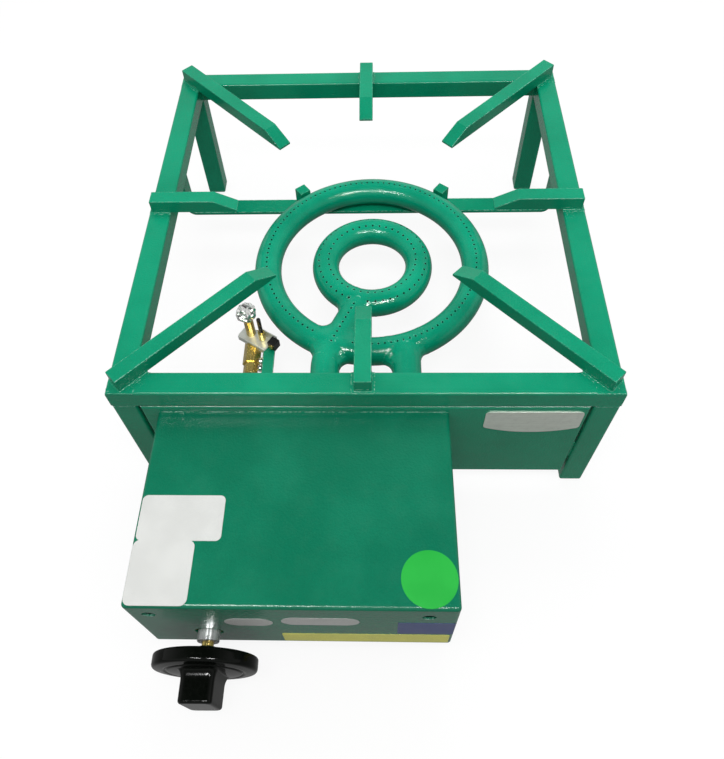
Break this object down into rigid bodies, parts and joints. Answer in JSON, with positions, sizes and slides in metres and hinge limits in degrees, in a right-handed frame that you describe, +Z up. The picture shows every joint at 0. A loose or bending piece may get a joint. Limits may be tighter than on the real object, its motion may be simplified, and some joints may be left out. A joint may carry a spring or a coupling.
{
  "type": "gas wok burner",
  "caption": "Low square-tube stand with sloped pan bars over two ring gas burners, and a control box in front with a push-and-turn gas knob.",
  "frame": {"origin": "on the floor, below the middle of the whole object's box", "axes": "+X to the right seen from the control box side, +Y from the control box towards the rear of the stand, +Z up"},
  "size_m": [0.4, 0.601, 0.1736],
  "materials": {
    "green_enamel": "gloss enamel",
    "brushed_plate": "brushed",
    "zinc_steel": "zinc plated, satin",
    "brass": "machined",
    "chrome": "bright",
    "black_gloss": "gloss",
    "black_matte": "satin",
    "bright_tube": "drawn tube",
    "copper_lead": "drawn copper"
  },
  "bodies": {
    "stand": {"arm_screws": "chrome", "bare_plate": "brushed_plate", "box_base": "green_enamel", "box_cover": "green_enamel", "box_screws": "zinc_steel", "burner_strap": "green_enamel", "clip_screw": "brass", "end_plugs": "brass", "foot_caps": "green_enamel", "front_panel": "green_enamel", "gas_manifold": "brass", "injectors": "brass", "inlet_connector": "brass", "inlet_nut": "brass", "inlet_pipe": "bright_tube", "inner_feed_pipe": "green_enamel", "inner_ring": "green_enamel", "leg_front_left": "green_enamel", "leg_front_right": "green_enamel", "leg_rear_left": "green_enamel", "leg_rear_right": "green_enamel", "manifold_bracket": "zinc_steel", "manifold_nut": "brass", "outer_feed_pipe": "green_enamel", "outer_ring": "green_enamel", "pan_bar_front": "green_enamel", "pan_bar_front_left": "green_enamel", "pan_bar_front_right": "green_enamel", "pan_bar_left": "green_enamel", "pan_bar_rear": "green_enamel", "pan_bar_rear_left": "green_enamel", "pan_bar_rear_right": "green_enamel", "pan_bar_right": "green_enamel", "panel_welds": "green_enamel", "pilot_arm": "green_enamel", "pilot_elbow": "brass", "pilot_hood": "chrome", "pilot_line": "bright_tube", "pilot_nut": "brass", "pilot_plate": "zinc_steel", "pilot_tube": "brass", "probe_clip": "black_matte", "rail_front": "green_enamel", "rail_left": "green_enamel", "rail_rear": "green_enamel", "rail_right": "green_enamel", "return_spring": "zinc_steel", "safety_magnet": "chrome", "strap_pegs": "green_enamel", "tap_body": "brass", "tap_sleeve": "zinc_steel", "thermocouple": "zinc_steel", "thermocouple_lead": "copper_lead"},
    "plunger": {"push_rod": "zinc_steel"},
    "turning_knob": {"knob": "black_gloss", "tap_spindle": "brass"},
    "inner_shutter": {"inner_air_shutter": "zinc_steel"},
    "outer_shutter": {"outer_air_shutter": "zinc_steel"}
  },
  "joints": [
    {"name": "knob_push", "type": "slide", "parent": "stand", "child": "plunger", "axis": [0, 1, 0], "range_m": [0, 0.003], "stiffness_N_per_m": 2000, "springref_m": -0.002, "deforming": ["return_spring"]},
    {"name": "knob_turn", "type": "hinge", "parent": "plunger", "child": "turning_knob", "pos_m": [-0.11625, -0.25, 0.06325], "axis": [0, -1, 0], "range_deg": [0, 180]},
    {"name": "inner_shutter_turn", "type": "hinge", "parent": "stand", "child": "inner_shutter", "pos_m": [-0.0375, -0.1315, 0.07215], "axis": [0, 1, 0], "range_deg": [0, 90]},
    {"name": "outer_shutter_turn", "type": "hinge", "parent": "stand", "child": "outer_shutter", "pos_m": [0.038, -0.1315, 0.07215], "axis": [0, 1, 0], "range_deg": [0, 90]}
  ]
}
